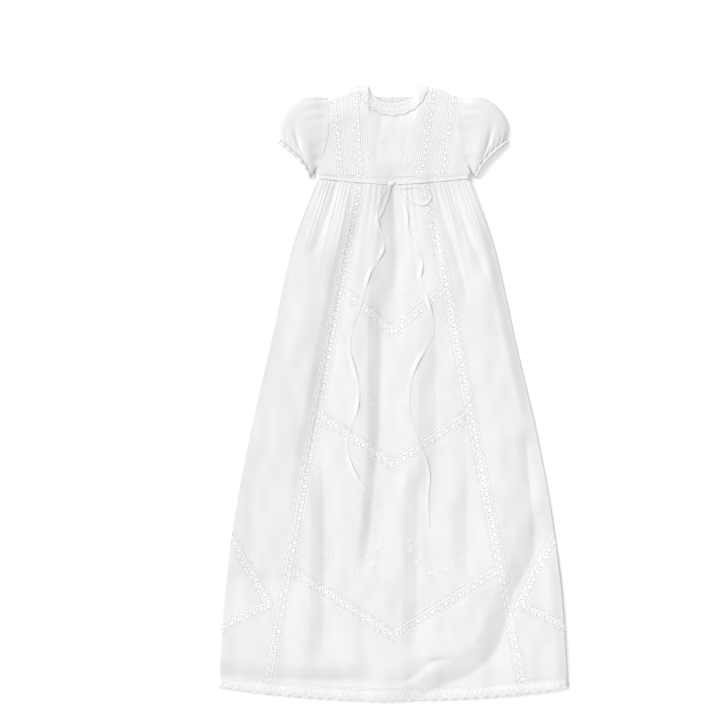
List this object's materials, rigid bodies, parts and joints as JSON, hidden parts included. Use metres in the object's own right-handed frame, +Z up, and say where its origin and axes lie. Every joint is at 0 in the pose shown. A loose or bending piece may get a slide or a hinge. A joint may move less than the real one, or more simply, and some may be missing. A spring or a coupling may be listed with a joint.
{
  "type": "christening gown",
  "caption": "Long white christening gown laid flat, front up: puff sleeves, lace insertions in chevrons and diamonds, a scalloped lace hem and a satin ribbon bow at the waist.",
  "frame": {"origin": "on the surface the gown lies on, under the middle of its length and width", "axes": "+Y from the hem to the neck, +X to the right of someone looking down on the front, +Z up"},
  "size_m": [0.492, 0.86, 0.02],
  "materials": {
    "lawn": "fine plain-woven cotton lawn",
    "lace": "cotton insertion lace",
    "satin": "satin ribbon with a soft shine"
  },
  "bodies": {
    "root": {"bodice_back_left": "lawn", "bodice_back_right": "lawn", "bodice_centre": "lawn", "bodice_side_left": "lawn", "bodice_side_right": "lawn", "bodice_tucks_left": "lawn", "bodice_tucks_right": "lawn", "bow_knot": "satin", "bow_loop_left": "satin", "bow_loop_right": "satin", "cuff_left": "lawn", "cuff_right": "lawn", "diamond_cloth_left": "lawn", "diamond_cloth_right": "lawn", "lace_bodice_inner_left": "lace", "lace_bodice_inner_right": "lace", "lace_bodice_outer_left": "lace", "lace_bodice_outer_right": "lace", "lace_chevron_lower": "lace", "lace_chevron_middle": "lace", "lace_chevron_upper": "lace", "lace_collar": "lace", "lace_diamond_lower_left": "lace", "lace_diamond_lower_right": "lace", "lace_diamond_upper_left": "lace", "lace_diamond_upper_right": "lace", "lace_hem_back": "lace", "lace_hem_front": "lace", "lace_strip_left": "lace", "lace_strip_right": "lace", "ribbon_sash_left": "satin", "ribbon_sash_right": "satin", "ribbon_tail_left": "satin", "ribbon_tail_right": "satin", "skirt_back": "lawn", "skirt_centre_hem": "lawn", "skirt_centre_lower": "lawn", "skirt_centre_top": "lawn", "skirt_centre_upper": "lawn", "skirt_side_hem_left": "lawn", "skirt_side_hem_right": "lawn", "skirt_side_left": "lawn", "skirt_side_right": "lawn", "sleeve_left": "lawn", "sleeve_right": "lawn", "waistband_back": "lawn", "waistband_front": "lace"}
  },
  "joints": []
}
